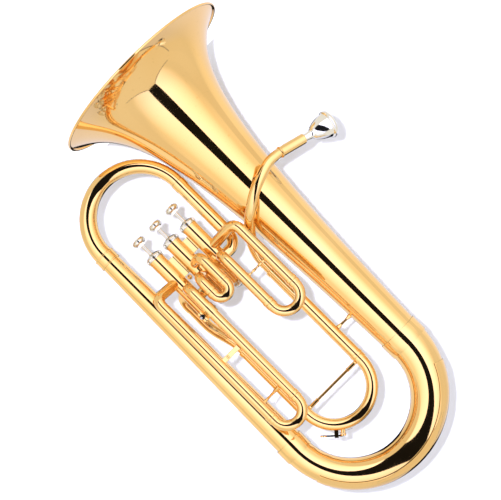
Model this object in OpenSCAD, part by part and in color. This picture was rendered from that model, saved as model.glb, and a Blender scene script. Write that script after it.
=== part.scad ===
// Three-valve baritone horn, set down on its bell.
// Every part is drawn bell upwards, as it is played: x runs from the branch to the
// mouthpiece side, -y is the side that carries the valve slides, z runs up the bell.
// set_down() then turns the whole horn over, so the bell rim stands on z = 0.

/* [Bell] */
// Radius of the bell mouth over its rolled rim
rim_r = 137.5; // [120:0.5:150]
// Height of the horn from bow to rim
horn_h = 627; // [615:1:640]
// Power of the flare curve
flare_power = 0.58; // [0.56:0.01:0.6]
// Length constant of the flare curve
flare_x0 = 33.5; // [32:0.5:35]
// Thickness of the bell and bow sheet
sheet_t = 0.7; // [0.5:0.05:1]

/* [Branches and bows] */
// Distance between the bell axis and the main branch
branch_x = 206.5; // [205:0.5:208]
// Radius of the main branch at its wide end
branch_r_low = 19.6; // [18:0.1:20.5]
// Radius of the main branch at its narrow end
branch_r_high = 13.4; // [12.5:0.1:14]
// Height of the bottom bow's bend centre
low_bend_z = 125; // [124:0.5:127]
// Height of the top bow's bend centre
high_bend_z = 493; // [490:1:495]
// Distance between the bell axis and the top bow's inner leg
bow_leg_x = 66.6; // [66.4:0.1:68]
// Radius of the top bow's inner leg
bow_leg_r = 9.4; // [9:0.1:9.6]

/* [Valves] */
// Distance between two valve axes
valve_pitch = 31.2; // [30.5:0.1:32]
// Distance from the bell axis to the first valve
valve_1_x = 97.6; // [97:0.1:98.5]
// How far the valves stand in front of the bell axis
valve_y = 4; // [3:0.5:5]
// Outer radius of a valve casing
casing_r = 11.3; // [11.2:0.1:11.5]
// Bore radius of a valve casing
casing_bore_r = 10.3; // [10.1:0.05:10.4]
// Radial clearance of a piston in its casing
piston_fit = 0.05; // [0.02:0.01:0.1]
// Travel of a piston
piston_travel = 16; // [14:0.5:16]
// Radius of a finger button
button_r = 9.9; // [9:0.1:10.5]

/* [Slides] */
// Outer radius of a valve slide's sleeve
sleeve_r = 7.4; // [7.2:0.1:7.5]
// Wall thickness of every sleeve and slide tube
tube_t = 0.5; // [0.4:0.05:0.6]
// Radial clearance of a slide leg in its sleeve
slide_fit = 0.05; // [0.02:0.01:0.1]
// How far the valve slides stand in front of the bell axis
slide_y = 40; // [38:0.5:42]
// Outer radius of a tuning slide sleeve
tuning_r = 8.6; // [8.3:0.1:8.8]

/* [Mouthpiece] */
// Outer radius of the mouthpiece rim
mouthpiece_r = 19; // [18:0.25:19.5]
// Length of the mouthpiece outside its receiver
mouthpiece_out = 44; // [40:1:46]

/* [Hidden] */
eps = 0.01;
fine = 96;
lacquer = "#e3b552";
nickel = "#c9c9c4";
silver = "#dcdcdc";

// Bell
bell_end_z = 142;
bell_rings = 40;
wire_r = 1.7;
ferrule_low_z = 119;
ferrule_t = 0.8;
ferrule_gap = 0.45;

// Bows
bell_end_r = rim_r / pow(1 + (horn_h - bell_end_z) / flare_x0, flare_power);
low_bend_r = branch_x / 2;
high_bend_r = (branch_x - bow_leg_x) / 2;
high_bow_x = -(branch_x + bow_leg_x) / 2;
bow_sides = 28;
bow_rings = 22;
bow_taper = 1.5;
guard_t = 0.8;
guard_gap = 0.4;
guard_from = 203;
guard_to = 337;
guard_half = 62;
joint_z = 1;
joint_gap = 0.3;
branch_top_z = high_bend_z - joint_z;
branch_bottom_z = low_bend_z + joint_z;

// Valves, counted from the bell
function valve_x(n) = -(valve_1_x + (n - 1) * valve_pitch);
casing_low_z = 334;
casing_high_z = 444;
cap_r = 12.7;
cap_gap = 0.05;
piston_low_z = 354;
piston_high_z = 420;
recess_z = 406;
recess_r = 8.6;
stem_r = 2.6;
button_low_z = 466;
button_h = 8.6;
felt_h = 2.4;
passage_r = 5.9;
port_r = 6.3;
seat_r = 10.9;
spring_wire_r = 0.45;
spring_r = 6.5;
spring_turns = 7;

// Heights of the three rows of ports
low_port_z = 362;
mid_port_z = 377;
high_port_z = 396;
elbow_r = 13;

// Slide legs: place across the horn, and height of the port each one hangs from
first_legs = [[-92.9, mid_port_z], [-51.3, high_port_z]];
second_legs = [[-136.1, mid_port_z], [-114.3, high_port_z]];
third_legs = [[-196.2, high_port_z], [-155, mid_port_z]];
first_bend_z = 281.5;
second_bend_z = 346.1;
third_bend_z = 174.2;
collar_h = 6;
collar_gap = 0.3;
collar_t = 0.75;
slide_r = sleeve_r - tube_t - slide_fit;

// Tuning slide
tuning_x = [-162.5, -60.5];
tuning_y = 2;
tuning_bend_z = 149.8;
tuning_bend_r = (tuning_x[1] - tuning_x[0]) / 2;
tuning_top_z = [268, 318];
tuning_leg_z = [260, 262];
tuning_slide_r = tuning_r - tube_t - slide_fit;

// Inlet tube, from the third valve back to the tuning slide
inlet_x = -174.3;
inlet_y = 20;
inlet_r = 7.5;
inlet_route = [
    [inlet_x, inlet_y, mid_port_z - elbow_r], [inlet_x, inlet_y, 345],
    [inlet_x, inlet_y, 325], [-171, 15, 308], [-166, 7.5, 292],
    [tuning_x[0], tuning_y, 277], [tuning_x[0], tuning_y, 270], [tuning_x[0], tuning_y, 264.5]
];

// Leadpipe, from the receiver round the front of the bell to the tuning slide
leadpipe_route = [
    [60, -46, 416.4], [50, -49.4, 418], [33, -53, 417.3], [0, -56, 405.5], [-24, -46.5, 391],
    [-41, -27, 377.5], [-53, -11, 362], [-59.5, -1, 344], [tuning_x[1], tuning_y, 327],
    [tuning_x[1], tuning_y, 313]
];
leadpipe_thin_r = 6.3;
leadpipe_wide_r = 7.5;
receiver_from = [56, -47.3, 417.2];
receiver_to = [93, -34, 409];
receiver_r = 7;
shank_r = 4.6;
shank_in = 26;
shank_fit = 0.06;

// Water key, on the tuning slide's bow
key_angle = 228;
key_axis_out = 6.6;

function unit(v) = v / norm(v);
function bell_r(x) = rim_r / pow(1 + x / flare_x0, flare_power);
function bell_slope(x) = flare_power * bell_r(x) / (x + flare_x0);
function bell_inner_r(x) = bell_r(x) - sheet_t * sqrt(1 + pow(bell_slope(x), 2));
function bell_r_at(z) = bell_r(horn_h - z);

// A smooth curve through the points of a route, s running from 0 to the last point
function route_at(p, s) =
    let (n = len(p) - 1, i = min(floor(s), n - 1), t = s - i,
         a = p[max(i - 1, 0)], b = p[i], c = p[i + 1], d = p[min(i + 2, n)])
    0.5 * (2 * b + (c - a) * t + (2 * a - 5 * b + 4 * c - d) * t * t
           + (3 * b - a - 3 * c + d) * t * t * t);
function route(p, count) = [for (i = [0:count]) route_at(p, i * (len(p) - 1) / count)];
function tangent(p, i) = unit(p[min(i + 1, len(p) - 1)] - p[max(i - 1, 0)]);

// One ring of points round a path, and the sheet of triangles between rings
function ring(c, t, up, r, sides) =
    let (u = unit(cross(t, up)), v = cross(u, t))
    [for (k = [0:sides - 1]) c + r * (cos(360 * k / sides) * u + sin(360 * k / sides) * v)];
function skin(from, rings, sides, flip) = [
    for (i = [0:rings - 2]) for (k = [0:sides - 1])
        let (a = from + i * sides + k, b = from + i * sides + (k + 1) % sides,
             c = b + sides, d = a + sides)
        each flip ? [[a, b, c], [a, c, d]] : [[c, b, a], [d, c, a]]
];
function rim_faces(a, b, sides, flip) = [
    for (k = [0:sides - 1]) let (m = (k + 1) % sides)
        each flip ? [[a + k, b + k, b + m], [a + k, b + m, a + m]]
                  : [[b + m, b + k, a + k], [a + m, b + m, a + k]]
];

// An open pipe along a path, with its own radius at each point
module pipe(path, radii, wall, sides, up) {
    n = len(path);
    outer = [for (i = [0:n - 1]) each ring(path[i], tangent(path, i), up, radii[i], sides)];
    inner = [for (i = [0:n - 1])
        each ring(path[i], tangent(path, i), up, radii[i] - wall, sides)];
    half = n * sides;
    polyhedron(concat(outer, inner), concat(
        skin(0, n, sides, true), skin(half, n, sides, false),
        rim_faces(0, half, sides, true),
        rim_faces(half - sides, 2 * half - sides, sides, false)), convexity = 8);
}

// A closed wire along a path
module wire(path, r, sides, up) {
    n = len(path);
    points = [for (i = [0:n - 1]) each ring(path[i], tangent(path, i), up, r, sides)];
    polyhedron(points, concat(skin(0, n, sides, true),
        [[for (k = [0:sides - 1]) sides - 1 - k]],
        [[for (k = [0:sides - 1]) (n - 1) * sides + k]]), convexity = 8);
}

module set_down() translate([0, 0, horn_h]) rotate([0, 180, 0]) children();

module tube(r, wall, h) difference() {
    cylinder(r = r, h = h, $fn = fine);
    translate([0, 0, -1]) cylinder(r = r - wall, h = h + 2, $fn = fine);
}

module bend(bend_r, r, wall, angle) rotate_extrude(angle = angle, $fn = fine)
    translate([bend_r, 0]) difference() {
        circle(r, $fn = fine);
        circle(r - wall, $fn = fine);
    }

// Stands children at a, with their +z towards b
module aim(a, b) {
    d = b - a;
    translate(a) rotate([0, atan2(norm([d.x, d.y]), d.z), atan2(d.y, d.x)]) children();
}

// A turned stay with flared ends
module stay(a, b, waist, foot) aim(a, b) {
    l = norm(b - a);
    rotate_extrude($fn = fine) polygon([
        [0, 0], [foot, 0], [foot * 0.8, l * 0.1], [waist, l * 0.27], [waist * 0.85, l / 2],
        [waist, l * 0.73], [foot * 0.8, l * 0.9], [foot, l], [0, l]
    ]);
}

// A sleeve that leaves a casing level, turns, and drops beside the other slides
module port_leg(n, leg_x, leg_y, port_z, end_z, r, wall) {
    to = [leg_x - valve_x(n), leg_y + valve_y];
    reach = norm(to);
    translate([valve_x(n), -valve_y, 0]) rotate(atan2(to.y, to.x)) {
        difference() {
            translate([8, 0, port_z]) rotate([0, 90, 0]) tube(r, wall, reach - elbow_r - 8);
            translate([0, 0, port_z - 12]) cylinder(r = seat_r, h = 24, $fn = fine);
        }
        translate([reach - elbow_r, 0, port_z - elbow_r]) rotate([90, 0, 0])
            bend(elbow_r, r, wall, 90);
        translate([reach, 0, end_z]) tube(r, wall, port_z - elbow_r - end_z);
    }
}

module collar(x, y, z, r, inner_r, h) translate([x, y, z]) rotate_extrude($fn = fine)
    polygon([
        [inner_r, 0], [r - 0.3, 0], [r, 0.4], [r, h - 0.4], [r - 0.3, h], [inner_r, h]
    ]);

// Two sleeves with a collar at each mouth
module slide_sleeves(n, legs, bend_z) {
    end_z = bend_z + collar_h + collar_gap;
    for (leg = legs) union() {
        port_leg(n, leg[0], -slide_y, leg[1], end_z, sleeve_r, tube_t);
        collar(leg[0], -slide_y, end_z, sleeve_r + collar_t, sleeve_r - 0.2, 5);
    }
}

// A bow with two legs that run up inside the sleeves
module slide_bow(x, y, bend_z, leg_z, r, leg_r) {
    bend_r = (x[1] - x[0]) / 2;
    union() {
        translate([(x[0] + x[1]) / 2, y, bend_z]) rotate([-90, 0, 0]) bend(bend_r, r, 1, 180);
        for (i = [0, 1]) {
            translate([x[i], y, bend_z]) tube(leg_r, tube_t, leg_z[i] - bend_z);
            collar(x[i], y, bend_z, r + collar_t, leg_r - 0.3, collar_h);
        }
    }
}

module valve_slide(legs, bend_z) {
    x = [legs[0][0], legs[1][0]];
    leg_z = [for (leg = legs) leg[1] - elbow_r - 2];
    slide_bow(x, -slide_y, bend_z, leg_z, sleeve_r - 0.2, slide_r);
}

// Ports of a valve, each the direction that it faces and its height
function toward(n, x, y) = atan2(y + valve_y, x - valve_x(n));
function leg_ports(n, legs) = [for (leg = legs) [toward(n, leg[0], -slide_y), leg[1]]];
function ports(n) =
    n == 1 ? concat(leg_ports(1, first_legs),
        [[180, low_port_z], [toward(1, -bow_leg_x, 0), mid_port_z]])
    : n == 2 ? concat(leg_ports(2, second_legs), [[180, low_port_z], [0, low_port_z]])
    : concat(leg_ports(3, third_legs),
        [[0, low_port_z], [toward(3, inlet_x, inlet_y), mid_port_z]]);

module valve_casing(n) set_down() color(lacquer) translate([valve_x(n), -valve_y, 0])
    difference() {
        union() {
            translate([0, 0, casing_low_z])
                cylinder(r = casing_r, h = casing_high_z - casing_low_z, $fn = fine);
            translate([0, 0, casing_high_z - 9]) cylinder(r = casing_r + 0.5, h = 2, $fn = fine);
            translate([0, 0, casing_low_z + 7]) cylinder(r = casing_r + 0.5, h = 2, $fn = fine);
        }
        translate([0, 0, casing_low_z - 1])
            cylinder(r = casing_bore_r, h = casing_high_z - casing_low_z + 2, $fn = fine);
        for (p = ports(n)) translate([0, 0, p[1]]) rotate([0, 90, p[0]])
            cylinder(r = port_r, h = 20, $fn = 48);
    }

module top_cap(n) set_down() color(nickel) translate([valve_x(n), -valve_y, casing_high_z])
    rotate_extrude($fn = fine) polygon([
        [casing_r + cap_gap, -6.5], [cap_r - 0.4, -6.5], [cap_r, -6], [cap_r, -1.5],
        [cap_r - 0.6, -0.6], [cap_r - 2.2, 0.4], [8, 1.6], [5, 2.4], [4.6, 3],
        [stem_r + 0.35, 3], [stem_r + 0.35, 0.05], [casing_r + cap_gap, 0.05]
    ]);

module bottom_cap(n) set_down() color(nickel) translate([valve_x(n), -valve_y, casing_low_z])
    rotate_extrude($fn = fine) polygon([
        [casing_r + cap_gap, 6.5], [cap_r - 0.4, 6.5], [cap_r, 6], [cap_r, 1.2],
        [cap_r - 0.8, 0], [9, -1.4], [6, -2.2], [5.4, -3], [2, -3], [2, -0.05],
        [casing_r + cap_gap, -0.05]
    ]);

module piston(n) set_down() color("#d8d2c2") translate([valve_x(n), -valve_y, 0])
    difference() {
        translate([0, 0, piston_low_z]) cylinder(
            r = casing_bore_r - piston_fit, h = piston_high_z - piston_low_z, $fn = fine);
        translate([0, 0, recess_z]) cylinder(r = recess_r, h = 20, $fn = fine);
        translate([0, 0, low_port_z]) rotate([0, 90, 0])
            cylinder(r = passage_r, h = 40, center = true, $fn = 48);
        translate([0, 0, mid_port_z]) rotate([90, 0, 0])
            cylinder(r = passage_r, h = 40, center = true, $fn = 48);
        translate([0, 0, high_port_z - 2.4]) rotate([0, 90, 45])
            cylinder(r = passage_r, h = 40, center = true, $fn = 48);
    }

module valve_stem(n) set_down() color(nickel) translate([valve_x(n), -valve_y, recess_z])
    rotate_extrude($fn = fine) polygon([
        [0, 0], [6, 0], [6, 3], [stem_r, 5], [stem_r, button_low_z - recess_z],
        [0, button_low_z - recess_z]
    ]);

module finger_button(n) set_down() color(nickel)
    translate([valve_x(n), -valve_y, button_low_z]) rotate_extrude($fn = fine) polygon([
        [0, 0], [button_r * 0.62, 0], [button_r * 0.78, 0.7], [button_r - 0.5, 2.6],
        [button_r, 3.8], [button_r, 5], [button_r - 0.4, 6.3], [button_r - 1.3, 7.6],
        [button_r - 2.6, button_h], [button_r * 0.55, button_h - 0.5], [0, button_h - 0.9]
    ]);

module stem_felt(n) set_down() color("#f2efe6")
    translate([valve_x(n), -valve_y, button_low_z - felt_h]) difference() {
        cylinder(r = 5.6, h = felt_h, $fn = fine);
        translate([0, 0, -1]) cylinder(r = stem_r + 0.05, h = felt_h + 2, $fn = fine);
    }

module valve_spring(n) set_down() color("#a8a8a8") {
    low = casing_low_z + spring_wire_r + 0.05;
    rise = piston_low_z - casing_low_z - 2 * spring_wire_r - 0.1;
    steps = spring_turns * 9;
    wire([for (i = [0:steps]) [
        valve_x(n) + spring_r * cos(360 * spring_turns * i / steps),
        -valve_y + spring_r * sin(360 * spring_turns * i / steps),
        low + rise * i / steps
    ]], spring_wire_r, 5, [0, 0, 1]);
}

module bell() set_down() color(lacquer) rotate_extrude($fn = fine) {
    span = horn_h - bell_end_z;
    xs = [for (i = [0:bell_rings]) span * pow(i / bell_rings, 1.9)];
    polygon(concat(
        [for (x = xs) [bell_r(x) - 0.6 * exp(-x / 4), horn_h - x - 0.5 * exp(-x / 4)]],
        [for (i = [0:bell_rings]) let (x = xs[bell_rings - i])
            [bell_inner_r(x) - 0.6 * exp(-x / 4), horn_h - x - 0.5 * exp(-x / 4)]]));
}

module bell_rim_wire() set_down() color(lacquer) translate([0, 0, horn_h - wire_r])
    rotate_extrude($fn = fine) translate([rim_r - wire_r, 0]) circle(wire_r, $fn = 48);

// A sleeve with a bead at each end, over a joint in a branch
module ferrule(r, low_z, high_z) translate([0, 0, low_z]) rotate_extrude($fn = fine) {
    h = high_z - low_z;
    inner = r + ferrule_gap;
    outer = inner + ferrule_t;
    polygon([
        [inner, 0], [outer, 0], [outer + 0.5, 0.7], [outer + 0.5, 1.8], [outer, 2.5],
        [outer, h - 2.5], [outer + 0.5, h - 1.8], [outer + 0.5, h - 0.7], [outer, h],
        [inner, h]
    ]);
}

module bell_ferrule() set_down() color(lacquer) ferrule(bell_end_r, ferrule_low_z, bell_end_z);
module branch_ferrule() set_down() color(lacquer) translate([-branch_x, 0, 0])
    ferrule(branch_r_low, ferrule_low_z, bell_end_z - 1);

function low_bow_r(t) = branch_r_low + (bell_end_r - branch_r_low) * pow(1 - t, bow_taper);
function low_bow_at(a) = [
    -low_bend_r + low_bend_r * cos(a), 0, low_bend_z + low_bend_r * sin(a)
];
function high_bow_r(t) = bow_leg_r + (branch_r_high - bow_leg_r) * pow(t, bow_taper);

module bottom_bow() set_down() color(lacquer) {
    path = concat(
        [[0, 0, bell_end_z - 1]],
        [for (i = [0:bow_rings]) low_bow_at(-180 * i / bow_rings)],
        [[-branch_x, 0, branch_bottom_z]]);
    radii = concat(
        [bell_end_r], [for (i = [0:bow_rings]) low_bow_r(i / bow_rings)], [branch_r_low]);
    pipe(path, radii, sheet_t, bow_sides, [0, 1, 0]);
}

guard_rows = 18;
guard_cols = 10;
function guard_point(i, k, r_out) =
    let (a = guard_from + (guard_to - guard_from) * i / guard_rows,
         t = (360 - a) / 180, w = guard_half * (2 * k / guard_cols - 1),
         r = low_bow_r(t) + r_out, c = low_bow_at(a))
    c + r * [cos(w) * cos(a), sin(w), cos(w) * sin(a)];

// The guard plate wraps the outside of the bottom bow
module bow_guard() set_down() color(lacquer) {
    rows = guard_rows;
    cols = guard_cols;
    w = cols + 1;
    half = (rows + 1) * w;
    points = [for (o = [guard_gap, guard_gap + guard_t])
        for (i = [0:rows]) for (k = [0:cols]) guard_point(i, k, o)];
    sheet = [for (i = [0:rows - 1]) for (k = [0:cols - 1]) let (a = i * w + k)
        each [[a, a + w, a + 1], [a + 1, a + w, a + w + 1]]];
    edge = concat(
        [for (k = [0:cols - 1]) [k, k + 1]],
        [for (i = [0:rows - 1]) [i * w + cols, (i + 1) * w + cols]],
        [for (k = [0:cols - 1]) [rows * w + cols - k, rows * w + cols - k - 1]],
        [for (i = [0:rows - 1]) [(rows - i) * w, (rows - i - 1) * w]]);
    polyhedron(points, concat(
        [for (f = sheet) [f[2], f[1], f[0]]],
        [for (f = sheet) f + [half, half, half]],
        [for (e = edge) each [[e[1], e[0], e[0] + half], [e[1], e[0] + half, e[1] + half]]]),
        convexity = 8);
}

module main_branch() set_down() color(lacquer)
    translate([-branch_x, 0, branch_bottom_z + joint_gap]) {
        h = branch_top_z - branch_bottom_z - 2 * joint_gap;
        difference() {
            cylinder(r1 = branch_r_low, r2 = branch_r_high, h = h, $fn = fine);
            translate([0, 0, -eps]) cylinder(r1 = branch_r_low - sheet_t,
                r2 = branch_r_high - sheet_t, h = h + 2 * eps, $fn = fine);
        }
    }

module top_bow() set_down() color(lacquer) {
    rings = 20;
    path = concat(
        [[-bow_leg_x, 0, branch_top_z]],
        [for (i = [0:rings]) let (a = 180 * i / rings)
            [high_bow_x + high_bend_r * cos(a), 0, high_bend_z + high_bend_r * sin(a)]],
        [[-branch_x, 0, branch_top_z]]);
    radii = concat([bow_leg_r], [for (i = [0:rings]) high_bow_r(i / rings)], [branch_r_high]);
    pipe(path, radii, sheet_t, 24, [0, 1, 0]);
}

module top_bow_ferrules() set_down() color(lacquer) {
    translate([-branch_x, 0, 0]) ferrule(branch_r_high, high_bend_z - 16, high_bend_z - 1);
    translate([-bow_leg_x, 0, 0]) tube_ring(bow_leg_r + 0.15, 0.6, high_bend_z - 12, 10);
}

module tube_ring(inner_r, wall, z, h) translate([0, 0, z]) tube(inner_r + wall, wall, h);

// From the top bow down, round an elbow and into the first valve
module top_bow_leg() set_down() color(lacquer) {
    thin_r = 7.8;
    turn_r = 15;
    to = [-bow_leg_x - valve_x(1), valve_y];
    reach = norm(to);
    turn_z = mid_port_z + turn_r;
    cone_z = turn_z + 14;
    top_z = branch_top_z - joint_gap - turn_z;
    translate([valve_x(1), -valve_y, 0]) rotate(atan2(to.y, to.x)) {
        difference() {
            translate([8, 0, mid_port_z]) rotate([0, 90, 0]) tube(thin_r, 0.6, reach - turn_r - 8);
            translate([0, 0, mid_port_z - 12]) cylinder(r = seat_r, h = 24, $fn = fine);
        }
        translate([reach - turn_r, 0, turn_z]) rotate([-90, 0, 0]) bend(turn_r, thin_r, 0.6, 90);
        translate([reach, 0, turn_z]) rotate_extrude($fn = fine) polygon([
            [thin_r - 0.6, 0], [thin_r, 0], [bow_leg_r, cone_z - turn_z],
            [bow_leg_r, top_z], [bow_leg_r - 0.6, top_z], [bow_leg_r - 0.6, cone_z - turn_z]
        ]);
    }
}

module valve_knuckles() set_down() color(lacquer) for (n = [1, 2]) difference() {
    translate([valve_x(n + 1) + 8, -valve_y, low_port_z]) rotate([0, 90, 0])
        tube(sleeve_r, tube_t, valve_pitch - 16);
    for (m = [n, n + 1]) translate([valve_x(m), -valve_y, low_port_z - 12])
        cylinder(r = seat_r, h = 24, $fn = fine);
}

// Flat plates that tie the casings together, the outer one with a screw boss
module bridge_plate(n, low_z) difference() {
    translate([(valve_x(n) + valve_x(n + 1)) / 2, -valve_y - 7.4, 0]) children();
    for (m = [n, n + 1]) translate([valve_x(m), -valve_y, low_z - 10])
        cylinder(r = seat_r, h = 60, $fn = fine);
}

module valve_bridges() set_down() color(lacquer) {
    bridge_plate(2, 393) union() {
        translate([-6, 0, 393]) cube([12, 2.4, 31]);
        translate([0, 2.4, 388.4]) rotate([90, 0, 0]) cylinder(r = 3.4, h = 3.4, $fn = 48);
        translate([-2, 0, 388]) cube([4, 2.4, 6]);
    }
    bridge_plate(1, 407) translate([-6, 0, 407]) cube([12, 2.4, 22]);
}

module inlet_elbow() set_down() color(lacquer)
    port_leg(3, inlet_x, inlet_y, mid_port_z, mid_port_z - elbow_r - 6, inlet_r + 0.6, 0.5);

module inlet_tube() set_down() color(lacquer) {
    path = route(inlet_route, 21);
    pipe(path, [for (p = path) inlet_r], 0.55, 20, [0, 1, 0]);
}

module leadpipe() set_down() color(lacquer) {
    count = 27;
    path = route(leadpipe_route, count);
    pipe(path, [for (i = [0:count]) leadpipe_thin_r
        + (leadpipe_wide_r - leadpipe_thin_r) * min(1, i / 14)], 0.6, 20, [0, 1, 0]);
}

module mouthpiece_receiver() set_down() color(lacquer) aim(receiver_from, receiver_to) {
    l = norm(receiver_to - receiver_from);
    rotate_extrude($fn = fine) polygon([
        [leadpipe_thin_r + 0.15, 0], [receiver_r + 0.7, 0], [receiver_r + 0.9, 0.8],
        [receiver_r + 0.7, 1.8], [receiver_r, 2.4], [receiver_r, l - 1.5],
        [receiver_r - 0.6, l - 0.4], [receiver_r - 1.4, l], [shank_r + shank_fit, l],
        [shank_r + shank_fit, l - shank_in - 2], [leadpipe_thin_r + 0.15, l - shank_in - 5]
    ]);
}

module mouthpiece() set_down() color(silver) aim(receiver_to, 2 * receiver_to - receiver_from) {
    l = mouthpiece_out;
    rim = mouthpiece_r;
    rotate_extrude($fn = fine) polygon([
        [2.9, -shank_in], [shank_r, -shank_in], [shank_r, 0], [4.9, 4], [5.4, 8],
        [6.1, 11.5], [8.4, 13.6], [10.6, 16.6], [12.4, 20.5], [14.2, 25], [15.6, 29.5],
        [16.4, 33.5], [16.8, 36.5], [rim - 0.7, 37.6], [rim, 38.8], [rim, 40.6],
        [rim - 0.8, 42.4], [rim - 2.4, l - 0.4], [rim - 4, l], [rim - 5.4, l - 0.6],
        [rim - 6.2, 41.6], [rim - 6.6, 38], [11.4, 32], [9.2, 25], [6, 18.5], [3.4, 14.4],
        [2.7, 10]
    ]);
}

module first_slide_sleeves() set_down() color(lacquer)
    slide_sleeves(1, first_legs, first_bend_z);
module second_slide_sleeves() set_down() color(lacquer)
    slide_sleeves(2, second_legs, second_bend_z);
module third_slide_sleeves() set_down() color(lacquer)
    slide_sleeves(3, third_legs, third_bend_z);

module tuning_slide_sleeves() set_down() color(lacquer) {
    end_z = tuning_bend_z + collar_h + collar_gap;
    for (i = [0, 1]) union() {
        translate([tuning_x[i], tuning_y, end_z]) tube(tuning_r, tube_t, tuning_top_z[i] - end_z);
        collar(tuning_x[i], tuning_y, end_z, tuning_r + collar_t, tuning_r - 0.2, 5);
        collar(tuning_x[i], tuning_y, tuning_top_z[i] - 5, tuning_r + collar_t, 7.65, 6);
    }
}

module bell_stay() set_down() color(lacquer) {
    z = 201;
    stay([tuning_x[1] + tuning_r - 0.3, tuning_y, z], [-bell_r_at(z) + 0.3, tuning_y, z], 1.9, 3.6);
    pipe_z = 391;
    a = atan2(-46.5, -24);
    r = bell_r_at(pipe_z);
    translate([0, 0, pipe_z]) rotate(a) translate([r - 0.4, 0, 0]) rotate([0, 90, 0])
        cylinder(r1 = 5, r2 = 3, h = 5, $fn = 48);
}

// Ties between the slide sleeves: a flat plate, a turned stay and a thin rod
module slide_stays() set_down() color(lacquer) {
    plate_z = 276.4;
    left = third_legs[0][0] + sleeve_r - 0.3;
    right = third_legs[1][0] - sleeve_r + 0.3;
    translate([left, -slide_y - 1.2, plate_z - 3.4]) cube([right - left, 2.4, 6.8]);
    translate([left + 8, -slide_y - 1, plate_z]) rotate([90, 0, 0])
        cylinder(r = 1.9, h = 1.4, $fn = 48);
    stay([third_legs[0][0] + 4, -slide_y + 6, 201], [tuning_x[0] - 4.6, tuning_y - 7, 201], 1.9, 3.4);
    rod_z = 332.6;
    thin = [first_legs[0][0] + sleeve_r - 0.3, first_legs[1][0] - sleeve_r + 0.3];
    stay([thin[0], -slide_y, rod_z], [(thin[0] * 2 + thin[1]) / 3, -slide_y, rod_z], 1.5, 2.4);
    stay([(thin[0] * 2 + thin[1]) / 3, -slide_y, rod_z],
        [(thin[0] + thin[1] * 2) / 3, -slide_y, rod_z], 1.5, 2);
    stay([(thin[0] + thin[1] * 2) / 3, -slide_y, rod_z], [thin[1], -slide_y, rod_z], 1.5, 2.4);
}

lyre_x = -167.4;
lyre_low_z = 329.5;
lyre_h = 14;
lyre_r = 5;
lyre_bore_r = 3.1;
module lyre_socket() set_down() color(lacquer) difference() {
    union() {
        translate([third_legs[1][0], -slide_y, lyre_low_z]) difference() {
            cylinder(r = sleeve_r + 1.2, h = lyre_h, $fn = fine);
            translate([0, 0, -1]) cylinder(r = sleeve_r + 0.05, h = lyre_h + 2, $fn = fine);
        }
        translate([lyre_x, -slide_y, lyre_low_z]) cylinder(r = lyre_r, h = lyre_h, $fn = fine);
    }
    translate([lyre_x, -slide_y, lyre_low_z - 1])
        cylinder(r = lyre_bore_r, h = lyre_h + 2, $fn = fine);
    translate([lyre_x, -slide_y, lyre_low_z + lyre_h / 2]) rotate([90, 0, 0])
        cylinder(r = 1.6, h = 12, $fn = 48);
}

module lyre_screw() set_down() color(nickel)
    translate([lyre_x, -slide_y - 3.6, lyre_low_z + lyre_h / 2]) rotate([90, 0, 0])
        rotate_extrude($fn = fine) polygon([
            [0, 0], [1.5, 0], [1.5, 2.4], [3.4, 3.2], [3.9, 4.4], [3.9, 7], [3.3, 8.2], [0, 8.4]
        ]);

module first_slide() set_down() color(lacquer) valve_slide(first_legs, first_bend_z);
module second_slide() set_down() color(lacquer) union() {
    valve_slide(second_legs, second_bend_z);
    translate([(second_legs[0][0] + second_legs[1][0]) / 2, -slide_y, second_bend_z - 4])
        rotate_extrude($fn = fine) polygon([[0, -2.5], [2, -2], [2.4, 0], [1.4, 2], [0, 2.2]]);
}
module third_slide() set_down() color(lacquer) valve_slide(third_legs, third_bend_z);
module tuning_slide() set_down() color(lacquer)
    slide_bow(tuning_x, tuning_y, tuning_bend_z, tuning_leg_z, tuning_r - 0.4, tuning_slide_r);

module tuning_slide_brace() set_down() color(lacquer) {
    z = tuning_bend_z + 2.4;
    left = tuning_x[0] + tuning_r - 0.1;
    right = tuning_x[1] - tuning_r + 0.1;
    span = right - left;
    aim([left, tuning_y, z], [right, tuning_y, z]) rotate_extrude($fn = fine) polygon([
        [0, 0], [3, 0], [2.6, 1.5], [2.6, 13], [3, 13.5], [3, 15], [1.9, 15.6],
        [1.9, span - 15.6], [3, span - 15], [3, span - 13.5], [2.6, span - 13],
        [2.6, span - 1.5], [3, span], [0, span]
    ]);
}

// Water key parts stand on the bow: x along it towards the branch, z away from it
module on_bow() translate([(tuning_x[0] + tuning_x[1]) / 2, tuning_y, tuning_bend_z])
    rotate([0, -(key_angle - 90), 0]) translate([0, 0, tuning_bend_r + tuning_r - 0.4])
        children();

module water_key_seat() set_down() color(lacquer) on_bow() {
    // nipple
    translate([-9, 0, -1.6]) difference() {
        cylinder(r = 3.2, h = 4.4, $fn = 48);
        translate([0, 0, -1]) cylinder(r = 1.8, h = 8, $fn = 48);
    }
    // saddle
    for (s = [-1, 1]) translate([0, s * 5 - 0.8, -1.6]) difference() {
        translate([-2.6, 0, 0]) cube([5.2, 1.6, key_axis_out + 4]);
        translate([0, -1, key_axis_out + 1.6]) rotate([-90, 0, 0])
            cylinder(r = 1.06, h = 4, $fn = 48);
    }
    translate([-2.6, -5, -1.6]) cube([5.2, 10, 1.8]);
}

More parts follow.
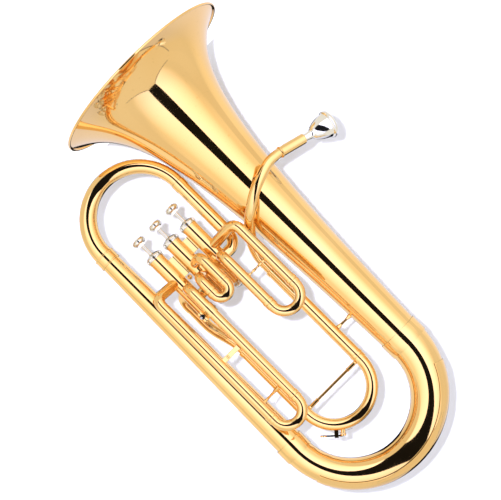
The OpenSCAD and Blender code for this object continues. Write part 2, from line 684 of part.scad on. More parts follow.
module water_key_lever() set_down() color(lacquer) on_bow() union() {
    translate([0, -6, key_axis_out]) rotate([-90, 0, 0]) cylinder(r = 1, h = 12, $fn = 48);
    translate([0, -3.4, key_axis_out]) rotate([-90, 0, 0]) cylinder(r = 2.1, h = 7.4, $fn = 48);
    // arm over the nipple, with its pad cup
    translate([-9, -1.5, key_axis_out - 1]) cube([9, 3, 2]);
    translate([-9, 0, key_axis_out - 2.2]) cylinder(r = 4, h = 2.2, $fn = 48);
    // arm to the finger touch, which follows the bow
    translate([0, -1.5, key_axis_out - 1]) cube([17, 3, 2]);
    translate([17.5, 0, key_axis_out - 1]) cylinder(r = 4.2, h = 1.8, $fn = 48);
}

module water_key_pad() set_down() color("#b98a58") on_bow()
    translate([-9, 0, key_axis_out - 2.2 - 1.5]) cylinder(r = 3.6, h = 1.5, $fn = 48);

// A wire spring: a hook on the arm, a coil round the lever's barrel, and a tail on the bow
module water_key_spring() set_down() color("#9a9a9a") on_bow() {
    coil_r = 2.65;
    steps = 20;
    coil = [for (i = [0:steps]) let (a = 90 - 540 * i / steps)
        [coil_r * cos(a), 2.1 + 1.1 * i / steps, key_axis_out + coil_r * sin(a)]];
    wire(concat([[-7, 0.6, key_axis_out + 1.4], [-3.5, 1.5, key_axis_out + 2.3]], coil,
        [[-5, 3.9, key_axis_out - 3.6], [-12, 4.3, 0.9], [-22, 4.3, -2]]), 0.3, 6, [0.02, 1, 0.01]);
}

bell();
bell_rim_wire();
bell_ferrule();
bottom_bow();
bow_guard();
branch_ferrule();
main_branch();
top_bow();
top_bow_ferrules();
top_bow_leg();
valve_casing(1);  // valve_1_casing
valve_casing(2);  // valve_2_casing
valve_casing(3);  // valve_3_casing
top_cap(1);  // valve_1_top_cap
top_cap(2);  // valve_2_top_cap
top_cap(3);  // valve_3_top_cap
bottom_cap(1);  // valve_1_bottom_cap
bottom_cap(2);  // valve_2_bottom_cap
bottom_cap(3);  // valve_3_bottom_cap
valve_knuckles();
valve_bridges();
inlet_elbow();
inlet_tube();
leadpipe();
mouthpiece_receiver();
first_slide_sleeves();
second_slide_sleeves();
third_slide_sleeves();
tuning_slide_sleeves();
bell_stay();
slide_stays();
lyre_socket();
lyre_screw();
piston(1);  // valve_1_piston
piston(2);  // valve_2_piston
piston(3);  // valve_3_piston
valve_stem(1);  // valve_1_stem
valve_stem(2);  // valve_2_stem
valve_stem(3);  // valve_3_stem
finger_button(1);  // valve_1_button
finger_button(2);  // valve_2_button
finger_button(3);  // valve_3_button
stem_felt(1);  // valve_1_felt
stem_felt(2);  // valve_2_felt
stem_felt(3);  // valve_3_felt
valve_spring(1);  // valve_1_spring
valve_spring(2);  // valve_2_spring
valve_spring(3);  // valve_3_spring
first_slide();
second_slide();
third_slide();
tuning_slide();
tuning_slide_brace();
water_key_seat();
water_key_lever();
water_key_pad();
water_key_spring();
mouthpiece();
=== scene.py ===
"""Baritone horn: smooth brass sheet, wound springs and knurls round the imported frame."""

import math

import bpy
from mathutils import Matrix, Vector


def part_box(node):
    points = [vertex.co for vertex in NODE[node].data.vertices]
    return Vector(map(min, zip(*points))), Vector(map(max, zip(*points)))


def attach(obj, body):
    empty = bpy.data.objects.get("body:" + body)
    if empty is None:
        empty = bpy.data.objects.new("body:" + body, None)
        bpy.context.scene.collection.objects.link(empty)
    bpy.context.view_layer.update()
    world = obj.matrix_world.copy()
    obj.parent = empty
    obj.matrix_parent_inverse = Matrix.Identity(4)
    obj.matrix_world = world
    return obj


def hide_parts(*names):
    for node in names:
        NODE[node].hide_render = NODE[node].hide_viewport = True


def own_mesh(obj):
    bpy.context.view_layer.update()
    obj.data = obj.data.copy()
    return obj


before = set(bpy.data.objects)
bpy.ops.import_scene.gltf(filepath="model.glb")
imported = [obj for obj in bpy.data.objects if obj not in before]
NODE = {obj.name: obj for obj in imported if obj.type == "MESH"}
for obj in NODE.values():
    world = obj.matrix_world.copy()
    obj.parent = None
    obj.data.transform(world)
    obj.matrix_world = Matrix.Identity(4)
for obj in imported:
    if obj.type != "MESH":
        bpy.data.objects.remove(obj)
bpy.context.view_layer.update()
MM = 0.001

# ---------------------------------------------------------------- driving sizes, from the frame
RIM_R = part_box("bell_rim_wire")[1].x
BELL_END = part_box("bell")[1].z
BRANCH_X = (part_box("main_branch")[0].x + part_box("main_branch")[1].x) / 2
BRANCH_LOW_R = (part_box("main_branch")[1].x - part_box("main_branch")[0].x) / 2
BOW_CENTRE_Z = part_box("main_branch")[1].z + 1.3 * MM
FLARE_X0 = 33.5 * MM
FLARE_POWER = 0.58
SHEET = 0.7 * MM
TAPER = 1.5
BELL_END_R = RIM_R / (1 + BELL_END / FLARE_X0) ** FLARE_POWER
BOW_R = BRANCH_X / 2
BRIDGE_Y = -11.4 * MM


# ---------------------------------------------------------------- mesh helpers
def add_mesh(name, points, faces, body, slot, nodes=(), sharp=40):
    """A smooth-shaded piece in its slot's finish, which rides on a body and stands for CAD nodes."""
    mesh = bpy.data.meshes.new(name)
    mesh.from_pydata([tuple(p) for p in points], [], faces)
    mesh.validate()
    mesh.shade_smooth()
    mesh.set_sharp_from_angle(angle=math.radians(sharp))
    mesh.materials.append(MATERIAL[slot])
    obj = bpy.data.objects.new(name, mesh)
    bpy.context.scene.collection.objects.link(obj)
    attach(obj, body)
    if nodes:
        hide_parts(*nodes)
    return obj


def band(rows, columns, ring=True, first=0, flip=False):
    """Quads over rows of points; ring joins each row's last point to its first."""
    faces = []
    for i in range(rows - 1):
        for k in range(columns if ring else columns - 1):
            a = first + i * columns + k
            b = first + i * columns + (k + 1) % columns
            face = (a, b, b + columns, a + columns)
            faces.append(face[::-1] if flip else face)
    return faces


def turned(profile, sides, centre, axis=(0, 0, 1), knurl=0.0, knurled=()):
    """Points and faces of a closed profile of (radius, height) turned round an axis."""
    axis = Vector(axis).normalized()
    side = axis.orthogonal().normalized()
    other = axis.cross(side)
    points = []
    for k in range(sides):
        a = 2 * math.pi * k / sides
        out = side * math.cos(a) + other * math.sin(a)
        for i, (r, h) in enumerate(profile):
            rib = knurl * (k % 4 in (1, 2)) if i in knurled else 0
            points.append(Vector(centre) + out * (r + rib) + axis * h)
    n = len(profile)
    faces = []
    for k in range(sides):
        for i in range(n):
            a = k * n + i
            b = k * n + (i + 1) % n
            c = ((k + 1) % sides) * n + (i + 1) % n
            d = ((k + 1) % sides) * n + i
            faces.append((d, c, b, a))
    return points, faces


def directions(path):
    last = len(path) - 1
    return [(path[min(i + 1, last)] - path[max(i - 1, 0)]).normalized() for i in range(last + 1)]


def rings(path, radii, sides, up=(0, 1, 0)):
    """Rings of points square to a path, without twist."""
    points = []
    side = None
    for centre, along, r in zip(path, directions(path), radii):
        side = Vector(up) if side is None else side
        side = (side - along * side.dot(along)).normalized()
        other = along.cross(side)
        for k in range(sides):
            a = 2 * math.pi * k / sides
            points.append(centre + (side * math.cos(a) + other * math.sin(a)) * r)
    return points


def pipe(path, radii, wall, sides):
    """An open pipe with its own radius at each point of the path."""
    n = len(path)
    points = rings(path, radii, sides) + rings(path, [r - wall for r in radii], sides)
    half = n * sides
    faces = band(n, sides) + band(n, sides, first=half, flip=True)
    for k in range(sides):
        m = (k + 1) % sides
        faces.append((k, half + k, half + m, m))
        faces.append((half - sides + m, 2 * half - sides + m, 2 * half - sides + k, half - sides + k))
    return points, faces


def wire(path, r, sides=10, up=(0, 0, 1)):
    """A solid round wire with flat ends."""
    n = len(path)
    points = rings(path, [r] * n, sides, up)
    faces = band(n, sides)
    faces.append(tuple(range(sides))[::-1])
    faces.append(tuple((n - 1) * sides + k for k in range(sides)))
    return points, faces


def spline(points, steps):
    """A Catmull-Rom curve through points, with steps stretches between each two."""
    pts = [Vector(p) for p in points]
    last = len(pts) - 1
    out = []
    for i in range(last):
        a, b, c, d = pts[max(i - 1, 0)], pts[i], pts[i + 1], pts[min(i + 2, last)]
        for s in range(steps):
            t = s / steps
            out.append(
                (2 * b + (c - a) * t + (2 * a - 5 * b + 4 * c - d) * t**2
                 + (3 * b - a - 3 * c + d) * t**3) / 2
            )
    return out + [pts[-1]]


def arc(centre_x, centre_z, bend_r, turn, steps, up):
    """Half a turn from small x to large x in the XZ plane; up is 1 over the centre, -1 under it."""
    path = []
    for i in range(steps + 1):
        a = turn * i / steps
        path.append(Vector((centre_x - bend_r * math.cos(a), 0, centre_z + up * bend_r * math.sin(a))))
    return path


# ---------------------------------------------------------------- materials
class Nodes:
    """A short way to place and join the nodes of one material."""

    def __init__(self, name):
        self.material = bpy.data.materials.new(name)
        self.material.use_nodes = True
        self.tree = self.material.node_tree
        self.shader = self.tree.nodes["Principled BSDF"]
        self.where = self.tree.nodes.new("ShaderNodeTexCoord").outputs["Object"]

    def noise(self, scale, detail=3.0, roughness=0.5, distortion=0.0, stretch=None):
        place = self.where
        if stretch:
            mapping = self.tree.nodes.new("ShaderNodeMapping")
            mapping.inputs["Scale"].default_value = stretch
            self.tree.links.new(place, mapping.inputs["Vector"])
            place = mapping.outputs["Vector"]
        node = self.tree.nodes.new("ShaderNodeTexNoise")
        node.inputs["Scale"].default_value = scale
        node.inputs["Detail"].default_value = detail
        node.inputs["Roughness"].default_value = roughness
        node.inputs["Distortion"].default_value = distortion
        self.tree.links.new(place, node.inputs["Vector"])
        return node.outputs["Fac"]

    def ramp(self, value, stops):
        node = self.tree.nodes.new("ShaderNodeValToRGB")
        elements = node.color_ramp.elements
        while len(elements) < len(stops):
            elements.new(0.5)
        for element, (place, colour) in zip(elements, stops):
            element.position = place
            element.color = (*colour, 1)
        self.tree.links.new(value, node.inputs["Fac"])
        return node.outputs["Color"]

    def spread(self, value, low, high, from_low=0.3, from_high=0.7):
        node = self.tree.nodes.new("ShaderNodeMapRange")
        node.inputs["From Min"].default_value = from_low
        node.inputs["From Max"].default_value = from_high
        node.inputs["To Min"].default_value = low
        node.inputs["To Max"].default_value = high
        self.tree.links.new(value, node.inputs["Value"])
        return node.outputs["Result"]

    def mix(self, factor, a, b):
        node = self.tree.nodes.new("ShaderNodeMix")
        node.data_type = "RGBA"
        self.tree.links.new(factor, node.inputs["Factor"])
        self.tree.links.new(a, node.inputs["A"])
        node.inputs["B"].default_value = (*b, 1)
        return node.outputs["Result"]

    def bump(self, value, strength, distance, below=None):
        node = self.tree.nodes.new("ShaderNodeBump")
        node.inputs["Strength"].default_value = strength
        node.inputs["Distance"].default_value = distance
        self.tree.links.new(value, node.inputs["Height"])
        if below:
            self.tree.links.new(below, node.inputs["Normal"])
        return node.outputs["Normal"]

    def set(self, name, value):
        socket = self.shader.inputs[name]
        if isinstance(value, bpy.types.NodeSocket):
            self.tree.links.new(value, socket)
        else:
            socket.default_value = value


def metal(name, light, dark, tarnish, rough, spots=0.62, wave=0.05):
    """Polished metal: slow colour drift, tarnish freckles, wiped smears and fine scratches."""
    n = Nodes(name)
    drift = n.ramp(n.noise(7, 2.0), [(0.35, dark), (0.65, light)])
    freckle = n.spread(n.noise(160, 6.0, 0.7), 0.0, 0.5, spots, spots + 0.16)
    n.set("Base Color", n.mix(freckle, drift, tarnish))
    smear = n.noise(26, 6.0, 0.65, 0.6)
    n.set("Roughness", n.spread(smear, rough, rough * 2.3))
    scratches = n.bump(n.noise(900, 2.0, 0.5, 0.0, (1, 1, 0.08)), 0.02, 0.00005)
    n.set("Normal", n.bump(n.noise(16, 1.0), wave, 0.0008, scratches))
    n.set("Metallic", 1.0)
    return n.material


def soft(name, light, dark, scale, fuzz, sheen=0.0):
    """Felt or cork: mottled colour and a grainy surface."""
    n = Nodes(name)
    n.set("Base Color", n.ramp(n.noise(scale, 8.0, 0.7), [(0.35, dark), (0.65, light)]))
    n.set("Roughness", n.spread(n.noise(scale * 2, 4.0), 0.8, 1.0))
    n.set("Normal", n.bump(n.noise(scale * 4, 8.0, 0.8), fuzz, 0.0004))
    n.set("Sheen Weight", sheen)
    return n.material


MATERIAL = {
    "brass_lacquer": metal(
        "brass_lacquer", (0.95, 0.66, 0.31), (0.91, 0.6, 0.25), (0.64, 0.34, 0.1), 0.035
    ),
    "nickel_plate": metal(
        "nickel_plate", (0.78, 0.76, 0.71), (0.68, 0.66, 0.61), (0.42, 0.39, 0.33), 0.07
    ),
    "silver_plate": metal(
        "silver_plate", (0.9, 0.9, 0.9), (0.82, 0.82, 0.83), (0.5, 0.48, 0.46), 0.04
    ),
    "monel": metal("monel", (0.6, 0.57, 0.5), (0.5, 0.47, 0.41), (0.36, 0.33, 0.28), 0.14),
    "spring_steel": metal(
        "spring_steel", (0.5, 0.5, 0.52), (0.4, 0.4, 0.42), (0.24, 0.2, 0.17), 0.16
    ),
    "felt": soft("felt", (0.86, 0.84, 0.78), (0.7, 0.68, 0.6), 900, 0.8, 0.6),
    "cork": soft("cork", (0.62, 0.41, 0.22), (0.36, 0.2, 0.09), 700, 0.6),
}


def paint_cad():
    """Every CAD node that still shows takes the studio version of its own finish."""
    for obj in NODE.values():
        for slot in obj.material_slots:
            name = slot.material.name.split(".")[0]
            if name in MATERIAL:
                slot.material = MATERIAL[name]


# ---------------------------------------------------------------- brass sheet and tube
def bell_r(z):
    return RIM_R / (1 + z / FLARE_X0) ** FLARE_POWER


def bell():
    rows = 150
    heights = [BELL_END * (i / rows) ** 1.9 for i in range(rows + 1)]
    lip = [math.exp(-z / (4 * MM)) for z in heights]
    profile = [(bell_r(z) - 0.6 * MM * e, z + 0.5 * MM * e) for z, e in zip(heights, lip)]
    inner = []
    for z, e in zip(heights[::-1], lip[::-1]):
        slope = FLARE_POWER * bell_r(z) / (z + FLARE_X0)
        inner.append((bell_r(z) - SHEET * math.hypot(1, slope) - 0.6 * MM * e, z + 0.5 * MM * e))
    points, faces = turned(profile + inner, 192, (0, 0, 0))
    add_mesh("bell_sheet", points, faces, "horn", "brass_lacquer", ["bell"])


def low_bow_r(t):
    return BRANCH_LOW_R + (BELL_END_R - BRANCH_LOW_R) * (1 - t) ** TAPER


def bottom_bow():
    steps = 120
    path = [Vector((0, 0, BELL_END + MM))]
    path += arc(BOW_R, BOW_CENTRE_Z, BOW_R, math.pi, steps, 1)
    path.append(path[-1] - Vector((0, 0, MM)))
    radii = [BELL_END_R] + [low_bow_r(i / steps) for i in range(steps + 1)] + [BRANCH_LOW_R]
    points, faces = pipe(path, radii, SHEET, 72)
    add_mesh("bottom_bow_tube", points, faces, "horn", "brass_lacquer", ["bottom_bow"])


def bow_guard():
    """The plate round the outside of the bottom bow, with a turned-down edge."""
    start, end, half = math.radians(23), math.radians(157), math.radians(62)
    rows, columns = 100, 44
    gap, thick = 0.4 * MM, 0.8 * MM

    def sheet(out, shrink):
        points = []
        for i in range(rows + 1):
            a = start + shrink + (end - start - 2 * shrink) * i / rows
            r = low_bow_r(a / math.pi) + out
            for k in range(columns + 1):
                w = (half - shrink) * (2 * k / columns - 1)
                ring = BOW_R + r * math.cos(w)
                points.append(
                    Vector((
                        BOW_R - ring * math.cos(a), r * math.sin(w), BOW_CENTRE_Z + ring * math.sin(a)
                    ))
                )
        return points

    across = columns + 1
    inner = sheet(gap, 0)
    middle = sheet(gap + thick * 0.6, 0)
    outer = sheet(gap + thick, 0.006)
    count = len(inner)
    faces = band(rows + 1, across, ring=False, flip=True)
    faces += band(rows + 1, across, ring=False, first=2 * count)
    border = list(range(across))
    border += [i * across + columns for i in range(1, rows + 1)]
    border += [rows * across + k for k in range(columns - 1, -1, -1)]
    border += [i * across for i in range(rows - 1, 0, -1)]
    for low in (0, count):
        for a, b in zip(border, border[1:] + border[:1]):
            faces.append((a + low, b + low, b + low + count, a + low + count))
    points = inner + middle + outer
    add_mesh("bow_guard_plate", points, faces, "horn", "brass_lacquer", ["bow_guard"], 60)


def top_bow():
    thin_r = 9.4 * MM
    near_x = 66.6 * MM
    steps = 110
    bend_r = (BRANCH_X - near_x) / 2
    path = arc((BRANCH_X + near_x) / 2, 134 * MM, bend_r, math.pi, steps, -1)
    radii = [thin_r + 4 * MM * (i / steps) ** TAPER for i in range(steps + 1)]
    path = [path[0] + Vector((0, 0, MM))] + path + [path[-1] + Vector((0, 0, MM))]
    radii = radii[:1] + radii + radii[-1:]
    points, faces = pipe(path, radii, SHEET, 56)
    add_mesh("top_bow_tube", points, faces, "horn", "brass_lacquer", ["top_bow"])


LEADPIPE = [
    (-60, -46, 210.6), (-50, -49.4, 209), (-33, -53, 209.7), (0, -56, 221.5), (24, -46.5, 236),
    (41, -27, 249.5), (53, -11, 265), (59.5, -1, 283), (60.5, 2, 300), (60.5, 2, 314),
]
INLET = [
    (174.3, 20, 263), (174.3, 20, 282), (174.3, 20, 302), (171, 15, 319), (166, 7.5, 335),
    (162.5, 2, 350), (162.5, 2, 357), (162.5, 2, 362.5),
]


def route(points, steps):
    return spline([Vector(p) * MM for p in points], steps)


def leadpipe():
    path = route(LEADPIPE, 14)
    count = len(path) - 1
    radii = [(6.3 + 1.2 * min(1, i / count * 27 / 14)) * MM for i in range(count + 1)]
    points, faces = pipe(path, radii, 0.6 * MM, 48)
    add_mesh("leadpipe_tube", points, faces, "horn", "brass_lacquer", ["leadpipe"])


def inlet_tube():
    path = route(INLET, 14)
    points, faces = pipe(path, [7.5 * MM] * len(path), 0.55 * MM, 48)
    add_mesh("inlet_tube_bend", points, faces, "horn", "brass_lacquer", ["inlet_tube"])


# ---------------------------------------------------------------- mouthpiece
def mouthpiece():
    """Shank, turned cup and rounded rim, along the receiver's own axis."""
    mouth = Vector((-93, -34, 218)) * MM
    along = (mouth - Vector((-56, -47.3, 209.8)) * MM).normalized()
    rim = 19
    shank = [(2.9, -26), (4.6, -26), (4.6, 0), (4.9, 4), (5.3, 7)]
    cup = spline([
        Vector((5.3, 7, 0)), Vector((5.6, 9.6, 0)), Vector((6.6, 12, 0)), Vector((9.2, 14.6, 0)),
        Vector((12.2, 20, 0)), Vector((14.4, 25.6, 0)), Vector((15.9, 31, 0)), Vector((16.7, 36, 0)),
    ], 8)
    bite = spline([
        Vector((16.9, 36.6, 0)), Vector((rim - 0.4, 38, 0)), Vector((rim, 40, 0)),
        Vector((rim - 0.8, 42.4, 0)), Vector((rim - 2.4, 43.6, 0)), Vector((rim - 4, 44, 0)),
        Vector((rim - 5.4, 43.4, 0)), Vector((rim - 6.2, 41.6, 0)), Vector((rim - 6.6, 38, 0)),
        Vector((11.4, 32, 0)), Vector((9.2, 25, 0)), Vector((6, 18.5, 0)), Vector((3.4, 14.4, 0)),
        Vector((2.7, 10, 0)),
    ], 6)
    profile = [(r * MM, h * MM) for r, h in shank]
    profile += [(p.x * MM, p.y * MM) for p in cup[1:] + bite]
    points, faces = turned(profile, 128, mouth, along)
    add_mesh("mouthpiece_turned", points, faces, "mouthpiece", "silver_plate", ["mouthpiece"], 50)


# ---------------------------------------------------------------- springs and knurls
BOW_OUT = 59.2


def valve_spring(n):
    low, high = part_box(f"valve_{n}_spring")
    centre = (low + high) / 2
    r, thick, turns, per_turn = 6.5 * MM, 0.45 * MM, 7, 28
    path = []
    for i in range(turns * per_turn + 1):
        a = 2 * math.pi * i / per_turn
        z = high.z - thick - (high.z - low.z - 2 * thick) * i / (turns * per_turn)
        path.append(Vector((centre.x + r * math.cos(a), centre.y + r * math.sin(a), z)))
    points, faces = wire(path, thick)
    name = f"valve_{n}_spring"
    piece = add_mesh(f"{name}_coil", points, faces, "horn", "spring_steel", [name])
    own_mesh(piece)


def key_frame():
    """Stands on the tuning slide's bow: x along it towards the branch, z away from it."""
    low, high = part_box("tuning_slide")
    middle = Vector(((low.x + high.x) / 2, 2 * MM, high.z - BOW_OUT * MM))
    return Matrix.Translation(middle) @ Matrix.Rotation(math.radians(42), 4, "Y")


def water_key_spring():
    """A hook on the arm, a coil round the barrel, and a tail on the bow."""
    stand = key_frame()
    axis_out, coil_r = 6.6, 2.65
    steps = 60
    coil = []
    for i in range(steps + 1):
        a = math.radians(90 - 540 * i / steps)
        coil.append((coil_r * math.cos(a), 2.1 + 1.1 * i / steps, axis_out + coil_r * math.sin(a)))
    ends = [(-5, 3.9, axis_out - 3.6), (-12, 4.3, 0.9), (-22, 4.3, -2)]
    shape = [(-7, 0.6, axis_out + 1.4), (-3.5, 1.5, axis_out + 2.3)] + coil + ends
    path = spline([stand @ (Vector((x, y, BOW_OUT + z)) * MM) for x, y, z in shape], 4)
    points, faces = wire(path, 0.3 * MM, 10, (0, 1, 0))
    nodes = ["water_key_spring"]
    add_mesh("water_key_spring_wire", points, faces, "water_key", "spring_steel", nodes)


def knurl(n, cap):
    """A band of fine ribs round a valve cap."""
    low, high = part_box(f"valve_{n}_{cap}_cap")
    centre = (low + high) / 2
    r = (high.x - low.x) / 2
    edge = high.z if cap == "top" else low.z
    inward = -1 if cap == "top" else 1
    middle = edge + inward * 3.1 * MM
    half = 1.7 * MM
    profile = [
        (r - 0.5 * MM, -half), (r - 0.05 * MM, -half), (r, -half + 0.3 * MM),
        (r, half - 0.3 * MM), (r - 0.05 * MM, half), (r - 0.5 * MM, half),
    ]
    points, faces = turned(profile, 288, (centre.x, centre.y, middle), (0, 0, 1), 0.28 * MM, (2, 3))
    name = f"valve_{n}_{cap}_cap_knurl"
    add_mesh(name, points, faces, "horn", "nickel_plate", sharp=30)


def valve_bridge(name, middle, low, high, nodes):
    """A plate between two casings: leaning a little, with edges that turn back to the casings."""
    half, lean, turn_back, thick = 6 * MM, 0.8 * MM, 1.5 * MM, 0.8 * MM
    across = 40
    n = across + 1
    points = []
    for z in (low, high):
        for depth in (0, thick):
            for k in range(n):
                u = 2 * k / across - 1
                y = BRIDGE_Y + lean * u + turn_back * abs(u) ** 5 + depth
                points.append((middle + u * half, y, z))
    faces = []
    for k in range(across):
        faces.append((k, k + 1, 2 * n + k + 1, 2 * n + k))
        faces.append((n + k + 1, n + k, 3 * n + k, 3 * n + k + 1))
        faces.append((k + 1, k, n + k, n + k + 1))
        faces.append((2 * n + k, 2 * n + k + 1, 3 * n + k + 1, 3 * n + k))
    faces.append((0, 2 * n, 3 * n, n))
    faces.append((n - 1, 2 * n - 1, 4 * n - 1, 3 * n - 1))
    plate = add_mesh(name, points, faces, "horn", "brass_lacquer", nodes)
    bevel = plate.modifiers.new("rounded_edges", "BEVEL")
    bevel.width = 0.3 * MM
    bevel.segments = 3


def bridge_boss(middle, z):
    """A screw boss under the outer bridge: a rounded ring with a shallow dish in it."""
    ring_r, lip, tall = 2.4, 1.0, 2.4
    profile = [(0.01, 0), (ring_r + lip, 0), (ring_r + lip, tall)]
    for k in range(1, 12):
        a = math.pi * k / 12
        profile.append((ring_r + lip * math.cos(a), tall + lip * math.sin(a)))
    profile += [(1.2, 2.1), (0.7, 2.5), (0.01, 2.7)]
    profile = [(r * MM, h * MM) for r, h in profile]
    points, faces = turned(profile, 64, (middle, BRIDGE_Y + 2.4 * MM, z), (0, -1, 0))
    add_mesh("valve_bridge_boss", points, faces, "horn", "brass_lacquer", sharp=30)


def between_valves(n):
    near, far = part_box(f"valve_{n}_top_cap"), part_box(f"valve_{n + 1}_top_cap")
    return (near[0].x + far[1].x) / 2


def valve_bridges():
    outer_high = 234 * MM
    outer, inner = between_valves(2), between_valves(1)
    valve_bridge("valve_bridge_outer", outer, 203 * MM, outer_high, ["valve_bridges"])
    bridge_boss(outer, outer_high + 4.6 * MM)
    valve_bridge("valve_bridge_inner", inner, 198 * MM, 220 * MM, [])


def ferrules():
    """The thin sleeves over the two ends of the bottom bow."""
    cad_proud, proud, thick, edge = 1.25 * MM, 0.73 * MM, 0.28 * MM, 0.3 * MM
    for node in ("bell_ferrule", "branch_ferrule"):
        low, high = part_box(node)
        outer = (high.x - low.x) / 2 - cad_proud + proud
        tall = high.z - low.z
        profile = [
            (outer - thick, 0), (outer - thick / 2, 0), (outer, edge), (outer, tall - edge),
            (outer - thick / 2, tall), (outer - thick, tall)
        ]
        points, faces = turned(profile, 120, ((low.x + high.x) / 2, 0, low.z), (0, 0, 1))
        add_mesh(f"{node}_sleeve", points, faces, "horn", "brass_lacquer", [node], 30)


def slide_plate():
    """The flat bar with rounded edges between the third slide's sleeves, and its screw."""
    low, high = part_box("third_slide")
    tube, lean = 15.1 * MM, 1.3 * MM
    z, tall, deep = 350.6 * MM, 3.6 * MM, 1.2 * MM
    face_y = (low.y + high.y) / 2 - 1.6 * MM
    arch = 24
    points = []
    for x, way in ((low.x + tube, -1), (high.x - tube, 1)):
        for k in range(arch + 1):
            a = math.pi * k / arch
            y = face_y + way * lean - deep * math.sin(a) ** 0.5
            points.append((x, y, z + tall * math.cos(a)))
    n = arch + 1
    faces = [(k, k + 1, n + k + 1, n + k) for k in range(arch)]
    faces += [tuple(reversed(range(n))), tuple(range(n, 2 * n)), (0, n, 2 * n - 1, n - 1)]
    add_mesh("slide_plate_bar", points, faces, "horn", "brass_lacquer", sharp=30)
    head = [(0.01, 0), (2.2, 0), (2.1, 0.7), (1.7, 1.2), (1, 1.6), (0.01, 1.7)]
    profile = [(r * MM, h * MM) for r, h in head]
    place = (high.x - tube - 8 * MM, face_y - 0.4 * MM, z)
    points, faces = turned(profile, 48, place, (0, -1, 0))
    add_mesh("slide_plate_screw", points, faces, "horn", "brass_lacquer")


# ---------------------------------------------------------------- studio
COOL = (0.97, 0.96, 1.15, 1)
WARM = (1, 0.93, 0.79, 1)


def wall_light(nodes, links, glow, near, far, middle, reach):
    """Fades an emission from near to far and from cool to warm, over reach metres each side of
    x = middle, and a little towards the top."""

    def spread(value, low, high, from_low, from_high, kind="LINEAR"):
        node = nodes.new("ShaderNodeMapRange")
        node.interpolation_type = kind
        node.inputs["From Min"].default_value = from_low
        node.inputs["From Max"].default_value = from_high
        node.inputs["To Min"].default_value = low
        node.inputs["To Max"].default_value = high
        links.new(value, node.inputs["Value"])
        return node.outputs["Result"]

    split = nodes.new("ShaderNodeSeparateXYZ")
    links.new(nodes.new("ShaderNodeTexCoord").outputs["Object"], split.inputs["Vector"])
    offset = nodes.new("ShaderNodeMath")
    offset.operation = "SUBTRACT"
    offset.inputs[1].default_value = middle
    links.new(split.outputs["X"], offset.inputs[0])
    away = nodes.new("ShaderNodeMath")
    away.operation = "ABSOLUTE"
    links.new(offset.outputs["Value"], away.inputs[0])
    strength = nodes.new("ShaderNodeMath")
    strength.operation = "MULTIPLY"
    sideways = spread(away.outputs["Value"], near, far, 0.0, reach, "SMOOTHSTEP")
    upwards = spread(split.outputs["Z"], 1.0, 0.8, 0.6, 4.4, "SMOOTHSTEP")
    links.new(sideways, strength.inputs[0])
    links.new(upwards, strength.inputs[1])
    links.new(strength.outputs["Value"], glow.inputs["Strength"])
    tint = nodes.new("ShaderNodeMix")
    tint.data_type = "RGBA"
    tint.inputs["A"].default_value = COOL
    tint.inputs["B"].default_value = WARM
    links.new(spread(away.outputs["Value"], 0.0, 1.0, 0.0, reach * 0.8), tint.inputs["Factor"])
    links.new(tint.outputs["Result"], glow.inputs["Color"])


def card(name, corners, near, far=None, middle=0.0, reach=1.0):
    """A card that lights the horn and shows in its reflections, but not to the camera."""
    mesh = bpy.data.meshes.new(name)
    mesh.from_pydata(corners, [], [(0, 1, 2, 3)])
    material = bpy.data.materials.new(name)
    material.use_nodes = True
    nodes, links = material.node_tree.nodes, material.node_tree.links
    nodes.remove(nodes["Principled BSDF"])
    glow = nodes.new("ShaderNodeEmission")
    glow.inputs["Color"].default_value = COOL
    glow.inputs["Strength"].default_value = near
    links.new(glow.outputs["Emission"], nodes["Material Output"].inputs["Surface"])
    if far is not None:
        wall_light(nodes, links, glow, near, far, middle, reach)
    mesh.materials.append(material)
    obj = bpy.data.objects.new(name, mesh)
    bpy.context.scene.collection.objects.link(obj)
    obj.visible_camera = False
    obj.visible_shadow = False
    return obj


def upright(x0, x1, z0, z1, y, rise=0.0):
    """An upright card from x0 to x1, whose top edge is higher by rise at x1."""
    return [(x0, y, z0), (x1, y, z0), (x1, y, z1 + rise), (x0, y, z1)]


def plain_sheet(name, corners, glow, hide_back):
    """A pale floor or backdrop, which takes shadows but doesn't show in the brass."""
    mesh = bpy.data.meshes.new(name)
    mesh.from_pydata(corners, [], [(0, 1, 2, 3)])
    material = bpy.data.materials.new(name)
    material.use_nodes = True
    nodes, links = material.node_tree.nodes, material.node_tree.links
    shader = nodes["Principled BSDF"]
    shader.inputs["Base Color"].default_value = (0.55, 0.57, 0.61, 1)
    shader.inputs["Roughness"].default_value = 1.0
    shader.inputs["Specular IOR Level"].default_value = 0
    shader.inputs["Emission Color"].default_value = (1, 1, 1, 1)
    shader.inputs["Emission Strength"].default_value = glow
    if hide_back:
        clear = nodes.new("ShaderNodeBsdfTransparent")
        mix = nodes.new("ShaderNodeMixShader")
        links.new(nodes.new("ShaderNodeNewGeometry").outputs["Backfacing"], mix.inputs["Fac"])
        links.new(shader.outputs["BSDF"], mix.inputs[1])
        links.new(clear.outputs["BSDF"], mix.inputs[2])
        links.new(mix.outputs["Shader"], nodes["Material Output"].inputs["Surface"])
    mesh.materials.append(material)
    obj = bpy.data.objects.new(name, mesh)
    bpy.context.scene.collection.objects.link(obj)
    obj.visible_glossy = False
    obj.visible_shadow = False
    return obj


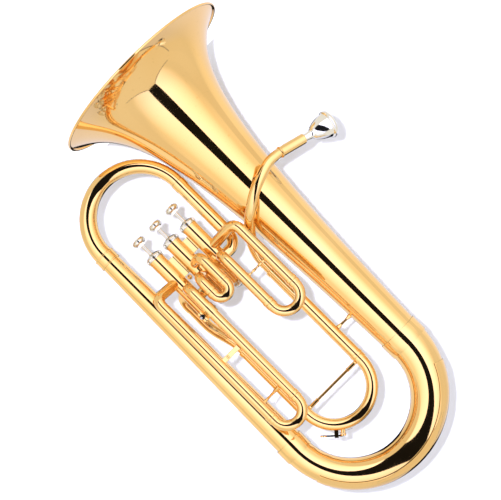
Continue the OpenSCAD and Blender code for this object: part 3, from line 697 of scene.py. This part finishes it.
def studio():
    """A pale tent: two wide walls with a narrow dark gap between them, in front and behind."""
    world = bpy.data.worlds.new("studio")
    bpy.context.scene.world = world
    world.use_nodes = True
    world.node_tree.nodes["Background"].inputs["Color"].default_value = WARM
    world.node_tree.nodes["Background"].inputs["Strength"].default_value = 0.9
    bpy.context.scene.view_settings.view_transform = "Standard"
    far, back = 8, 0.17
    floor_glow, backdrop_glow = 0.75, 0.1
    floor = [(-far, -far, 0), (far, -far, 0), (far, far, 0), (-far, far, 0)]
    plain_sheet("studio_floor", floor, floor_glow, False)
    plain_sheet("studio_backdrop", upright(-far, far, 0, far, back), backdrop_glow, True)
    middle, gap, wide, reach = 0.05, 0.51, 12.0, 5.0
    low, high, seam, rise = -2.0, 4.1, 0.2, 17.0
    for side, y, near in (("front", -2.3, 1.9), ("back", 2.3, 1.0)):
        card(f"{side}_gap", upright(middle - gap, middle + gap, low, high, y), 0.01)
        for name, way, share in (("right", -1, 1.0), ("left", 1, 0.9)):
            inner, outer = middle + way * gap, middle + way * wide
            wall = upright(inner, outer, low, high, y, rise)
            card(f"{side}_{name}_wall", wall, near * share, 1.1, middle, reach)
            strip = [(inner, 0), (outer, rise), (outer, rise + 3 * seam), (inner, seam)]
            edge = [(x, y, z + high) for x, z in strip]
            card(f"{side}_{name}_seam", edge, 0.25)
    lamp = card("shadow_lamp", upright(0.085, 0.125, 0.24, 0.28, -1.81), 7500)
    lamp.visible_glossy = False


def camera():
    data = bpy.data.cameras.new("camera")
    data.lens = 96.3
    data.sensor_width = 36
    cam = bpy.data.objects.new("camera", data)
    bpy.context.scene.collection.objects.link(cam)
    view_x = 0.0615
    place = Vector((view_x, -1.794, 0.376))
    back = (place - Vector((view_x, 0, 0.27))).normalized()
    right = Vector((-1, 0, -1)).cross(back).normalized()
    up = back.cross(right)
    turn = Matrix((right, up, back)).transposed().to_4x4()
    cam.matrix_world = Matrix.Translation(place) @ turn
    bpy.context.scene.camera = cam


paint_cad()
bell()
bottom_bow()
bow_guard()
top_bow()
leadpipe()
inlet_tube()
mouthpiece()
for number in (1, 2, 3):
    valve_spring(number)
    knurl(number, "top")
    knurl(number, "bottom")
water_key_spring()
valve_bridges()
ferrules()
slide_plate()
studio()
camera()
